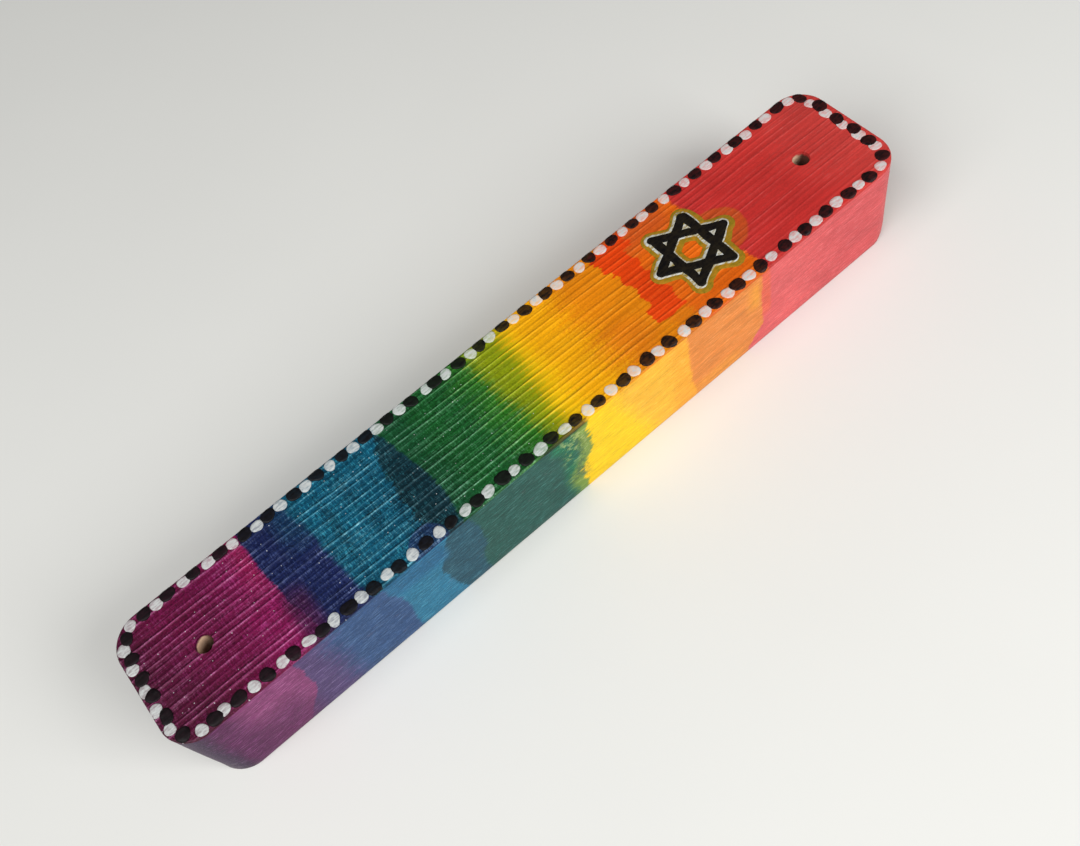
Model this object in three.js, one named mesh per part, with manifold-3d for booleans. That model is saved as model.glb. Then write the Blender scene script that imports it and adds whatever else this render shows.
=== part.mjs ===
// A painted wooden mezuzah case: a solid block with a scroll pocket routed into its back,
// a sliding dovetail cover over the pocket, and a rolled parchment in a clear sleeve inside.
// Millimetres. The origin is the centre of the back face, +Y runs to the top end,
// +X to the right as seen from the front, and +Z comes out of the painted face.

import * as THREE from 'three';
import { mergeVertices } from 'three/addons/utils/BufferGeometryUtils.js';
import Module from 'manifold-3d';

const wasm = await Module();
wasm.setup();

// ---- driving dimensions ----

const CASE_LENGTH = 150;
const CASE_WIDTH = 24.5;
const CASE_DEPTH = 20;
const CORNER_RADIUS = 5.5; // the four plan corners, sanded round
const EDGE_EASE = 0.4; // the edges of the front and back faces, just broken

const SCREW_HOLE_RADIUS = 1.5;
const SCREW_HOLE_OFFSET = 63; // each hole's distance from the middle of the case

const GAP = 0.3; // between pieces that touch or slide

const COVER_THICKNESS = 3;
const GROOVE_DEPTH = COVER_THICKNESS + GAP;
const GROOVE_MOUTH = 15.8; // width at the back face, the narrow side of the dovetail
const DOVETAIL_ANGLE = THREE.MathUtils.degToRad(20);
const GROOVE_END = -58; // the groove stops here and runs out through the top end

const POCKET_WIDTH = 14;
const POCKET_LENGTH = 113;
const POCKET_FLOOR = 16.3; // height of the pocket's deepest face above the back face
const POCKET_RADIUS = 3; // left by a 6 mm router bit

const NOTCH_POSITION = 48; // finger notch across the outside of the cover
const NOTCH_LENGTH = 9;
const NOTCH_RADIUS = 6;
const NOTCH_DEPTH = 1.2;

const SCROLL_LENGTH = 100;
const SCROLL_RADIUS = 5.5; // outside of the rolled parchment
const PARCHMENT_THICKNESS = 0.35;
const SCROLL_PITCH = 0.7; // one turn to the next
const SCROLL_TURNS = 4.1;

const SLEEVE_WALL = 0.4;
const SLEEVE_LENGTH = 102;
const SLEEVE_RADIUS = SCROLL_RADIUS + GAP + SLEEVE_WALL;
const SCROLL_AXIS_HEIGHT = COVER_THICKNESS + GAP + SLEEVE_RADIUS;

const CORNER_SEGMENTS = 10; // per quarter circle
const HOLE_SEGMENTS = 32;
const SLEEVE_SEGMENTS = 48;
const SCROLL_SEGMENTS_PER_TURN = 36;
const OVERCUT = 1; // how far a cutter runs past the face that it opens

// ---- solids ----

// A closed solid from a three.js geometry whose shared corners are merged.
function solidOf(geometry) {
  const bare = geometry.clone();
  bare.deleteAttribute('normal');
  bare.deleteAttribute('uv');
  const merged = mergeVertices(bare, 1e-4);
  return new wasm.Manifold(
    new wasm.Mesh({
      numProp: 3,
      vertProperties: Float32Array.from(merged.attributes.position.array),
      triVerts: Uint32Array.from(merged.index.array),
    }),
  );
}

// The three.js geometry of a finished solid.
function geometryOf(solid) {
  const mesh = solid.getMesh();
  const geometry = new THREE.BufferGeometry();
  geometry.setAttribute('position', new THREE.BufferAttribute(mesh.vertProperties, 3));
  geometry.setIndex(new THREE.BufferAttribute(mesh.triVerts, 1));
  geometry.computeVertexNormals();
  return geometry;
}

// A rectangle in plan, centred on the origin, with round corners.
function roundedRectangle(width, length, radius) {
  const x = width / 2;
  const y = length / 2;
  const shape = new THREE.Shape();
  shape.moveTo(x, -y + radius);
  shape.lineTo(x, y - radius);
  shape.absarc(x - radius, y - radius, radius, 0, Math.PI / 2, false);
  shape.lineTo(-x + radius, y);
  shape.absarc(-x + radius, y - radius, radius, Math.PI / 2, Math.PI, false);
  shape.lineTo(-x, -y + radius);
  shape.absarc(-x + radius, -y + radius, radius, Math.PI, 1.5 * Math.PI, false);
  shape.lineTo(x - radius, -y);
  shape.absarc(x - radius, -y + radius, radius, 1.5 * Math.PI, 2 * Math.PI, false);
  return shape;
}

// A section drawn across the case, with its y as height, carried along +Y from yLow to yHigh.
function alongCase(section, yLow, yHigh) {
  const geometry = new THREE.ExtrudeGeometry(section, { depth: yHigh - yLow, bevelEnabled: false });
  geometry.rotateX(Math.PI / 2);
  geometry.translate(0, yHigh, 0);
  return geometry;
}

// The plain block: rounded in plan, with the edges of its two faces broken.
function blockSolid() {
  const geometry = new THREE.ExtrudeGeometry(roundedRectangle(CASE_WIDTH, CASE_LENGTH, CORNER_RADIUS), {
    depth: CASE_DEPTH - 2 * EDGE_EASE,
    curveSegments: CORNER_SEGMENTS,
    bevelEnabled: true,
    bevelSegments: 1,
    bevelThickness: EDGE_EASE,
    bevelSize: EDGE_EASE,
    bevelOffset: -EDGE_EASE,
  });
  geometry.translate(0, 0, EDGE_EASE);
  return solidOf(geometry);
}

// A dovetail section, mouthHalf wide to each side at height 0 and wider towards its top.
function dovetailSection(mouthHalf, bottom, top) {
  const slope = Math.tan(DOVETAIL_ANGLE);
  const halfAt = (height) => mouthHalf + height * slope;
  const section = new THREE.Shape();
  section.moveTo(-halfAt(bottom), bottom);
  section.lineTo(halfAt(bottom), bottom);
  section.lineTo(halfAt(top), top);
  section.lineTo(-halfAt(top), top);
  section.closePath();
  return section;
}

function screwHole(y) {
  const height = CASE_DEPTH + 2 * OVERCUT;
  const geometry = new THREE.CylinderGeometry(SCREW_HOLE_RADIUS, SCREW_HOLE_RADIUS, height, HOLE_SEGMENTS);
  geometry.rotateX(Math.PI / 2);
  geometry.translate(0, y, CASE_DEPTH / 2);
  return solidOf(geometry);
}

function caseBody(block) {
  const groove = solidOf(
    alongCase(
      dovetailSection(GROOVE_MOUTH / 2, -OVERCUT, GROOVE_DEPTH),
      GROOVE_END,
      CASE_LENGTH / 2 + OVERCUT,
    ),
  );
  const pocketGeometry = new THREE.ExtrudeGeometry(
    roundedRectangle(POCKET_WIDTH, POCKET_LENGTH, POCKET_RADIUS),
    { depth: POCKET_FLOOR - OVERCUT, curveSegments: CORNER_SEGMENTS, bevelEnabled: false },
  );
  pocketGeometry.translate(0, 0, OVERCUT);
  return geometryOf(
    block
      .subtract(groove)
      .subtract(solidOf(pocketGeometry))
      .subtract(screwHole(SCREW_HOLE_OFFSET))
      .subtract(screwHole(-SCREW_HOLE_OFFSET)),
  );
}

// The sliding cover: a dovetail strip, trimmed to the outline of the case at its top end.
function backCover(block) {
  const sideGap = GAP / Math.cos(DOVETAIL_ANGLE);
  const strip = solidOf(
    alongCase(
      dovetailSection(GROOVE_MOUTH / 2 - sideGap, 0, COVER_THICKNESS),
      GROOVE_END + GAP,
      CASE_LENGTH / 2,
    ),
  );
  const notch = new THREE.CylinderGeometry(NOTCH_RADIUS, NOTCH_RADIUS, NOTCH_LENGTH, HOLE_SEGMENTS);
  notch.rotateZ(Math.PI / 2);
  notch.translate(0, NOTCH_POSITION, NOTCH_DEPTH - NOTCH_RADIUS);
  return geometryOf(
    strip.intersect(block).subtract(screwHole(SCREW_HOLE_OFFSET)).subtract(solidOf(notch)),
  );
}

// The parchment rolled into a spiral, its blank sheet about as wide as it is long.
function scroll() {
  const steps = Math.round(SCROLL_TURNS * SCROLL_SEGMENTS_PER_TURN);
  const innerStart = SCROLL_RADIUS - PARCHMENT_THICKNESS - SCROLL_PITCH * SCROLL_TURNS;
  const spiralPoint = (step, offset) => {
    const turns = (SCROLL_TURNS * step) / steps;
    const radius = innerStart + offset + SCROLL_PITCH * turns;
    const angle = 2 * Math.PI * turns;
    return new THREE.Vector2(radius * Math.cos(angle), radius * Math.sin(angle));
  };
  const outline = [];
  for (let step = 0; step <= steps; step += 1) {
    outline.push(spiralPoint(step, PARCHMENT_THICKNESS));
  }
  for (let step = steps; step >= 0; step -= 1) {
    outline.push(spiralPoint(step, 0));
  }
  const geometry = alongCase(new THREE.Shape(outline), -SCROLL_LENGTH / 2, SCROLL_LENGTH / 2);
  return geometryOf(solidOf(geometry));
}

// The clear sleeve round the scroll, a thin tube open at both ends.
function scrollSleeve() {
  const inner = SLEEVE_RADIUS - SLEEVE_WALL;
  const half = SLEEVE_LENGTH / 2;
  const wall = [
    new THREE.Vector2(inner, -half),
    new THREE.Vector2(SLEEVE_RADIUS, -half),
    new THREE.Vector2(SLEEVE_RADIUS, half),
    new THREE.Vector2(inner, half),
    new THREE.Vector2(inner, -half),
  ];
  return geometryOf(solidOf(new THREE.LatheGeometry(wall, SLEEVE_SEGMENTS)));
}

// ---- finishes ----

function finish(colour, roughness) {
  return new THREE.MeshStandardMaterial({ color: colour, roughness, metalness: 0 });
}

const paintedWood = finish(0xe58a2a, 0.45);
const bareWood = finish(0xd8b27c, 0.75);
const parchment = finish(0xe9dcb8, 0.8);
const clearFilm = finish(0xdfe8ea, 0.15);

// ---- assembly ----

function namedMesh(name, geometry, material) {
  const mesh = new THREE.Mesh(geometry, material);
  mesh.name = name;
  return mesh;
}

const block = blockSolid();

const scrollBundle = new THREE.Group();
scrollBundle.position.set(0, 0, SCROLL_AXIS_HEIGHT);
scrollBundle.add(namedMesh('scroll', scroll(), parchment));
scrollBundle.add(namedMesh('scroll_sleeve', scrollSleeve(), clearFilm));

const mezuzahCase = new THREE.Group();
mezuzahCase.add(namedMesh('case_body', caseBody(block), paintedWood));
mezuzahCase.add(namedMesh('back_cover', backCover(block), bareWood));
mezuzahCase.add(scrollBundle);

export default mezuzahCase;
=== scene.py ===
"""A hand-painted wooden mezuzah case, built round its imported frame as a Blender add-on.

Sizes in the settings are in metres. Inside the shape and paint functions they are in millimetres.
+Y runs to the top end of the case, +X to the right of its painted face, and +Z out of that face.
"""

import math

import bpy
import numpy as np
from bpy.props import FloatProperty, FloatVectorProperty, IntProperty, PointerProperty
from mathutils import Matrix, Vector


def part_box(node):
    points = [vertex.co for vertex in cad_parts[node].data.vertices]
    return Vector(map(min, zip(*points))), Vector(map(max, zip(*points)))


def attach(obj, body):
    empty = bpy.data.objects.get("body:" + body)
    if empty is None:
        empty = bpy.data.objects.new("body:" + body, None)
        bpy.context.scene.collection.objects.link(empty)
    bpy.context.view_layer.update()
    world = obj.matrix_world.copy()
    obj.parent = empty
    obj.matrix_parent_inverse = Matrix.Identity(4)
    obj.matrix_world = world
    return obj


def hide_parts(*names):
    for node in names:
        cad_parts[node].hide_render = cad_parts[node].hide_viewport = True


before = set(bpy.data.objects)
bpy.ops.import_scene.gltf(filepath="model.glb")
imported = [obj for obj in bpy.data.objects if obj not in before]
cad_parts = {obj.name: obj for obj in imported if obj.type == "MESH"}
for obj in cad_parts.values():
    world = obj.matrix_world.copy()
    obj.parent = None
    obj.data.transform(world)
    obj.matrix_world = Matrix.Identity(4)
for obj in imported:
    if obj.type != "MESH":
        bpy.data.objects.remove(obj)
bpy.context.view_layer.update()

bl_info = {
    "name": "Painted Mezuzah Case",
    "version": (1, 0, 0),
    "blender": (4, 5, 0),
    "location": "3D View > Sidebar > Mezuzah Case",
    "description": "Builds a painted wooden mezuzah case with its sliding back, scroll and dots",
    "category": "Object",
}

MM = 0.001
TURN = 2 * math.pi


def node_box(node):
    """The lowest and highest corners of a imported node, in millimetres."""
    low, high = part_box(node)
    return np.array(low) / MM, np.array(high) / MM


CASE_LOW, CASE_HIGH = node_box("case_body")
CASE_WIDTH, CASE_LENGTH, CASE_DEPTH = CASE_HIGH - CASE_LOW
COVER_LOW, COVER_HIGH = node_box("back_cover")
SCROLL_LOW, SCROLL_HIGH = node_box("scroll")
SLEEVE_LOW, SLEEVE_HIGH = node_box("scroll_sleeve")

OVERCUT = 1  # how far a cutter runs past the face that it opens, in millimetres
BLOCK_GRID = (264, 118, 12)  # columns of the face's grid, its rows, and its rows through a corner
LOWER_END_WEAR = 0.1  # wear of the two lower corners, as a share of the two top ones'


# ---- surfaces ----


class Skin:
    """Vertices and faces gathered from numpy grids, and made a mesh at the end."""

    def __init__(self):
        self.points = []
        self.faces = []
        self.count = 0

    def add_points(self, points):
        """Adds points of any grid shape and returns their numbers in the same shape."""
        flat = points.reshape(-1, 3)
        numbers = np.arange(self.count, self.count + len(flat)).reshape(points.shape[:-1])
        self.points.append(flat)
        self.count += len(flat)
        return numbers

    def add_grid(self, numbers):
        """Adds the quads between neighbouring rows and columns of point numbers."""
        corners = (numbers[:-1, :-1], numbers[:-1, 1:], numbers[1:, 1:], numbers[1:, :-1])
        self.faces += np.stack(corners, -1).reshape(-1, 4).tolist()

    def add_loft(self, rings, closed=False):
        """Adds a tube through rings of points, shut by a flat face at each end or closed on itself."""
        numbers = self.add_points(rings)
        numbers = np.concatenate([numbers, numbers[:, :1]], axis=1)
        if closed:
            numbers = np.concatenate([numbers, numbers[:1]], axis=0)
        else:
            self.faces.append(numbers[0, :0:-1].tolist())
            self.faces.append(numbers[-1, :-1].tolist())
        self.add_grid(numbers)

    def make(self, name, crease=35.0, flat_area=None):
        """Returns a smooth object in metres, with edges sharper than crease degrees kept hard."""
        mesh = bpy.data.meshes.new(name)
        mesh.from_pydata(np.concatenate(self.points) * MM, [], self.faces)
        mesh.validate()
        turn_outwards(mesh)
        piece = bpy.data.objects.new(name, mesh)
        bpy.context.scene.collection.objects.link(piece)
        smooth(mesh, crease, flat_area)
        return piece


def turn_outwards(mesh):
    """Flips the faces if six times the volume inside them comes out negative."""
    mesh.calc_loop_triangles()
    triangles = np.zeros(len(mesh.loop_triangles) * 3, np.int32)
    mesh.loop_triangles.foreach_get("vertices", triangles)
    points = np.zeros(len(mesh.vertices) * 3)
    mesh.vertices.foreach_get("co", points)
    a, b, c = np.moveaxis(points.reshape(-1, 3)[triangles.reshape(-1, 3)], 1, 0)
    if np.einsum("ij,ij->", a, np.cross(b, c)) < 0:
        mesh.flip_normals()


def smooth(mesh, crease, flat_area=None):
    """Smooth faces between creases. Faces over flat_area, in square millimetres, are left flat."""
    mesh.shade_smooth()
    if flat_area is not None:
        areas = np.zeros(len(mesh.polygons))
        mesh.polygons.foreach_get("area", areas)
        mesh.polygons.foreach_set("use_smooth", areas < flat_area * MM * MM)
    mesh.set_sharp_from_angle(angle=math.radians(crease))
    mesh.update()


def plan_grid(inset, radius, columns, rows, corner_rows):
    """A grid filling the case's plan, shrunk by inset: each row is as wide as the outline is there.

    Through a round corner y = L/2 - r + r sin(a) and half the width = W/2 - r + r cos(a).
    """
    half_x, half_y = CASE_WIDTH / 2 - inset, CASE_LENGTH / 2 - inset
    bend = radius - inset
    angle = np.linspace(0, math.pi / 2, corner_rows + 1)[1:]
    corner_y = half_y - bend + bend * np.sin(angle)
    corner_half = half_x - bend + bend * np.cos(angle)
    straight = np.linspace(bend - half_y, half_y - bend, rows + 1)
    y = np.concatenate([-corner_y[::-1], straight, corner_y])
    half = np.concatenate([corner_half[::-1], np.full(rows + 1, half_x), corner_half])
    across = np.linspace(-1, 1, columns + 1)
    return half[:, None] * across, np.repeat(y[:, None], columns + 1, axis=1)


def rim(grid):
    """The outer points of a grid in order, anticlockwise as seen from above."""
    return np.concatenate([grid[0, :-1], grid[:-1, -1], grid[-1, :0:-1], grid[:0:-1, 0]])


def grain_crest(x, y, wave, pitch):
    """Raised grain, from 0 in a furrow to 1 on a crest, for numpy arrays or for shader fields.

    A sine across the case, raised to a power so that its crests are narrow. The lines lean, close
    up towards the top end, wander and are unevenly spaced, and some stand higher than others.
    """
    wander = wave(y * 0.11 + 0.6) * 0.12 + wave(y * 0.31 + 2.0) * 0.05
    across = x * (y * 0.0012 + 1.06) - y * 0.026 + wander
    uneven = across + wave(across * 1.19 + 1.1) * 0.10 + wave(across * 2.6 + 0.4) * 0.05
    height = wave(uneven * (TURN / pitch)) * 0.5 + 0.5
    slow = wave(across * 1.7 + y * 0.05 + 0.3) * 0.24
    strength = slow + wave(across * 4.1 - y * 0.04) * 0.18 + 0.58
    return height ** 4.5 * strength


def face_relief(x, y, pitch, depth):
    """Height of the painted face below its highest crests, with the furrows' own slow unevenness.

    The grain stands lower in the orange bands and lowest in the red one, where the paint is thicker.
    """
    swell = 0.5 + 0.5 * np.sin(0.21 * y + 0.9 * np.sin(0.5 * x)) * np.sin(0.37 * x + 1.0)
    filled = 0.64 - 0.17 * np.tanh((y - 45) / 4) - 0.19 * np.tanh((y - 3) / 4)
    return depth * filled * (grain_crest(x, y, np.sin, pitch) - 1) - 0.25 * depth * swell


def block_skin(sizes):
    """The whole outside of the block: the ridged face, the eased edge, the walls and the back.

    The walls are the plan's rim moved inwards by an inset that follows a quarter circle at each
    face's edge and a slow hand-sanded unevenness in between. The back's edge is worn rounder at
    the two top corners.
    """
    radius, ease = sizes.corner_radius / MM, sizes.edge_ease / MM
    pitch, depth = sizes.grain_pitch / MM, sizes.grain_depth / MM
    skin = Skin()
    x, y = plan_grid(ease, radius, *BLOCK_GRID)
    face = skin.add_points(np.stack([x, y, CASE_DEPTH + face_relief(x, y, pitch, depth)], -1))
    skin.add_grid(face)

    outer = np.stack([rim(g) for g in plan_grid(0, radius, *BLOCK_GRID)], -1)
    outwards = outer - np.stack([rim(g) for g in plan_grid(1, radius, *BLOCK_GRID)], -1)
    plan_x, plan_y = outer.T
    at_corner = np.clip((np.abs(plan_x) - CASE_WIDTH / 2 + 3.95) / 2, 0, 1)
    at_corner = at_corner * np.clip((np.abs(plan_y) - CASE_LENGTH / 2 + 5.5) / 3, 0, 1)
    wear = np.where(plan_y > 0, 1.0, LOWER_END_WEAR) * (sizes.corner_wear / MM - ease)
    worn = ease + wear * at_corner * at_corner * (3 - 2 * at_corner)

    arc = np.linspace(0, math.pi / 2, 6)[1:, None]
    near, far = 1 - np.sin(arc), 1 - np.cos(arc)
    share = np.linspace(0, 1, 16)[1:-1, None]
    straight = (CASE_DEPTH - ease) * (1 - share) + worn * share
    height = np.concatenate([CASE_DEPTH - ease * far + 0 * worn, straight, worn * near])
    inset = np.concatenate([ease * near + 0 * worn, 0 * straight, worn * far])
    uneven = 0.05 * (1 + np.sin(0.19 * plan_y + 0.23 * height + plan_x))
    held = np.minimum(1, (CASE_DEPTH - height) / 2) * np.minimum(1, height / 2)
    plan = outer - outwards * (inset + uneven * held)[..., None]
    sunk = face_relief(plan_x, plan_y, pitch, depth) * (np.arange(len(height)) < 4)[:, None]
    fade = np.clip(1 - (CASE_DEPTH - height) / ease, 0, 1)
    walls = np.concatenate([plan, (height + sunk * fade)[..., None]], -1)
    rings = np.concatenate([rim(face)[None], skin.add_points(walls)])
    skin.add_grid(np.concatenate([rings, rings[:, :1]], axis=1)[::-1])
    skin.faces.append(rings[-1, ::-1].tolist())
    return skin


def circle(radius, segments):
    """A circle of points about the origin."""
    angle = np.linspace(0, TURN, segments, endpoint=False)
    return radius * np.stack([np.cos(angle), np.sin(angle)], -1)


def turned(profile, place, segments=48):
    """Rings of a turned shape about a vertical axis: profile lists (height, radius)."""
    height, radius = np.array(profile).T[..., None, None]
    plan = radius * circle(1, segments) + np.array(place)
    return np.concatenate([plan, height + 0 * plan[..., :1]], -1)


def upright(outline, low, high):
    """Two rings that carry a plan outline straight up from low to high."""
    flat = np.ones((len(outline), 1))
    return np.stack([np.concatenate([outline, flat * z], axis=1) for z in (low, high)])


def dovetail(mouth, slope, bottom, top, y_low, y_high):
    """Two rings of a dovetail along the case: half its width is mouth + slope times the height."""
    heights = np.array([bottom, bottom, top, top])
    sides = np.array([-1, 1, 1, -1]) * (mouth + slope * heights)
    return np.stack([np.stack([sides, np.full(4, y), heights], -1) for y in (y_low, y_high)])


def carve(piece, cutters):
    """Cuts the solids given as (rings, operation) out of a piece, or keeps what they share with it."""
    made = []
    for rings, operation in cutters:
        skin = Skin()
        skin.add_loft(rings)
        cutter = skin.make("cutter")
        modifier = piece.modifiers.new("carve", "BOOLEAN")
        modifier.object = cutter
        modifier.operation = operation
        modifier.solver = "MANIFOLD"
        made.append(cutter)
    evaluated = piece.evaluated_get(bpy.context.evaluated_depsgraph_get())
    carved = bpy.data.meshes.new_from_object(evaluated)
    if len(carved.polygons) == 0:
        raise RuntimeError(f"carving {piece.name} left nothing")
    piece.modifiers.clear()
    piece.data = carved
    for cutter in made:
        bpy.data.meshes.remove(cutter.data)


# ---- materials ----


def math_method(operation, swapped=False):
    """A method of Field that adds one Math node. Swapped is for a reflected form, as in 1 - mask."""

    def method(self, other=0.0):
        first, second = (other, self) if swapped else (self, other)
        return self.finish.node("ShaderNodeMath", {"operation": operation}, {0: first, 1: second})

    return method


class Field:
    """A socket of a material being made. Arithmetic on it adds Math nodes."""

    __add__ = math_method("ADD")
    __radd__ = math_method("ADD", swapped=True)
    __sub__ = math_method("SUBTRACT")
    __rsub__ = math_method("SUBTRACT", swapped=True)
    __mul__ = math_method("MULTIPLY")
    __rmul__ = math_method("MULTIPLY", swapped=True)
    __truediv__ = math_method("DIVIDE")
    __pow__ = math_method("POWER")
    sine = math_method("SINE")
    magnitude = math_method("ABSOLUTE")
    remainder = math_method("FRACT")
    at_least = math_method("MAXIMUM")

    def __init__(self, finish, socket):
        self.finish = finish
        self.socket = socket

    def rises(self, low, high):
        """0 under low, 1 over high and a smooth step between."""
        return self.finish.step(self, low, high)

    def falls(self, low, high):
        """1 under low, 0 over high and a smooth step between."""
        return 1 - self.rises(low, high)

    def between(self, start, full, fade, end):
        """1 from full to fade, with smooth steps down to 0 at start and at end."""
        return self.rises(start, full) * self.falls(fade, end)


class Finish:
    """A material being made. x, y and z are the place on the object in millimetres."""

    def __init__(self, name):
        self.material = bpy.data.materials.new(name)
        self.material.use_nodes = True
        self.tree = self.material.node_tree
        self.tree.nodes.clear()
        place = self.node("ShaderNodeTexCoord", {}, {}, "Object")
        self.place = self.vector_math("MULTIPLY", place, (1 / MM,) * 3)
        split = self.node("ShaderNodeSeparateXYZ", {}, {0: self.place})
        self.x, self.y, self.z = (Field(self, socket) for socket in split.socket.node.outputs)

    def node(self, kind, settings, inputs, output=0):
        """Adds a node: its settings first, then the values or links of its sockets."""
        node = self.tree.nodes.new(kind)
        for name, value in settings.items():
            setattr(node, name, value)
        for key, value in inputs.items():
            if isinstance(value, Field):
                self.tree.links.new(value.socket, node.inputs[key])
            else:
                node.inputs[key].default_value = value
        return Field(self, node.outputs[output])

    def vector_math(self, operation, first, second, third=(0, 0, 0)):
        inputs = {0: first, 1: second, 2: third}
        return self.node("ShaderNodeVectorMath", {"operation": operation}, inputs)

    def step(self, value, low, high):
        settings = {"interpolation_type": "SMOOTHSTEP"}
        return self.node("ShaderNodeMapRange", settings, {"Value": value, 1: low, 2: high})

    def mix(self, first, second, share):
        """The first colour, changing to the second as share goes from 0 to 1."""
        settings = {"data_type": "RGBA", "clamp_factor": True}
        return self.node("ShaderNodeMix", settings, {0: share, 6: first, 7: second}, 2)

    def noise(self, across, along, seed, detail=3.0, roughness=0.5):
        """Noise between 0 and 1, with so many cells to a millimetre across the case and along it."""
        cells = (across, along, across)
        moved = self.vector_math("MULTIPLY_ADD", self.place, cells, (seed, seed * 1.7, seed * 0.6))
        inputs = {"Vector": moved, "Scale": 1.0, "Detail": detail, "Roughness": roughness}
        return self.node("ShaderNodeTexNoise", {}, inputs)

    def specks(self, cells, size, share):
        """Small round specks in plan: 1 near the heart of a share of the cells of a Voronoi pattern."""
        settings = {"voronoi_dimensions": "2D"}
        cell = self.node("ShaderNodeTexVoronoi", settings, {"Vector": self.place, "Scale": cells})
        colour = Field(self, cell.socket.node.outputs["Color"])
        split = self.node("ShaderNodeSeparateColor", {}, {0: colour})
        chosen = split.rises(1 - share, 1 - share + 0.02)
        return cell.falls(size * 0.5, size) * chosen

    def gamma(self, colour, power):
        return self.node("ShaderNodeGamma", {}, {0: colour, 1: power})

    def shade(self, colour, amount):
        """A colour made darker or lighter by a field about 1."""
        grey = self.node("ShaderNodeCombineXYZ", {}, {0: amount, 1: amount, 2: amount})
        settings = {"data_type": "RGBA", "blend_type": "MULTIPLY"}
        return self.node("ShaderNodeMix", settings, {0: 1.0, 6: colour, 7: grey}, 2)

    def bump(self, height, depth_mm, strength=1.0):
        """A normal from a height field whose full range stands depth_mm high."""
        inputs = {"Strength": strength, "Distance": depth_mm * MM, "Height": height}
        return self.node("ShaderNodeBump", {}, inputs)

    def surface(self, **inputs):
        """Ends the material in a Principled shader: keywords are its sockets, with _ for a space."""
        named = {key.replace("_", " "): value for key, value in inputs.items()}
        shader = self.node("ShaderNodeBsdfPrincipled", {}, named)
        output = self.tree.nodes.new("ShaderNodeOutputMaterial")
        self.tree.links.new(shader.socket, output.inputs["Surface"])
        return self.material


def hex_colour(text):
    """A display colour such as #c83c32 as linear red, green, blue and alpha."""
    levels = [int(text[i:i + 2], 16) / 255 for i in (1, 3, 5)]
    linear = [c / 12.92 if c <= 0.04045 else ((c + 0.055) / 1.055) ** 2.4 for c in levels]
    return (*linear, 1.0)


# ---- paints and woods ----


class Brushwork(Finish):
    """A finish on the painted block: it has the shared brush marks and lays band over band."""

    def __init__(self, name, pitch):
        super().__init__(name)
        self.bristle = self.noise(1.7, 0.09, seed=3.0) - 0.5
        self.wander = self.noise(0.16, 0.16, seed=9.0, detail=2.0) - 0.5
        self.chunk = self.noise(0.42, 0.05, seed=4.0, detail=1.0) - 0.5
        self.grit = self.noise(4.2, 2.4, seed=11.0, detail=4.0, roughness=0.75) - 0.5
        self.crest = grain_crest(self.x, self.y, Field.sine, pitch)

    def lay(self, under, over, line, soft, ragged=0.0, comb=0.0):
        """Paint over everything below a line across the case, its edge drawn out by the bristles.

        The crests of the grain keep the paint under it for comb millimetres more.
        """
        height = self.y - line - self.bristle * (3.4 * ragged) - self.wander * 2.4
        height = height + self.crest * comb - self.grit * (0.6 + soft * 1.5)
        return self.mix(under, over, height.falls(-soft / 2, soft / 2))

    def layers(self, colour, paints, *layers):
        """Paints layers in turn. Each has its paint's name, then a mask, or what lay asks for."""
        for name, *place in layers:
            apply = self.mix if len(place) == 1 else self.lay
            colour = apply(colour, getattr(paints, name), *place)
        return colour

    def disc(self, centre, radius, soft, flat=1.0):
        """1 inside a round brush mark in plan, wavering a little at its edge."""
        dx = self.x - centre[0]
        dy = (self.y - centre[1]) * flat
        distance = (dx * dx + dy * dy) ** 0.5 + self.wander * 1.6 + self.grit * (0.5 + soft)
        return distance.falls(radius - soft / 2, radius + soft / 2)

    def stroke(self, x_range, y_range, soft=0.3, ragged=0.9):
        """1 inside a short square brush stroke with a ragged lower and upper edge."""
        x = self.x + self.wander * 2.4 + self.grit * 0.5
        y = self.y - self.bristle * (4 * ragged) - self.chunk * (4 * ragged) - self.grit * 0.5
        sides = [
            value.between(low, low + soft, high - soft, high)
            for value, (low, high) in ((x, x_range), (y, y_range))
        ]
        return sides[0] * sides[1]


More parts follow.
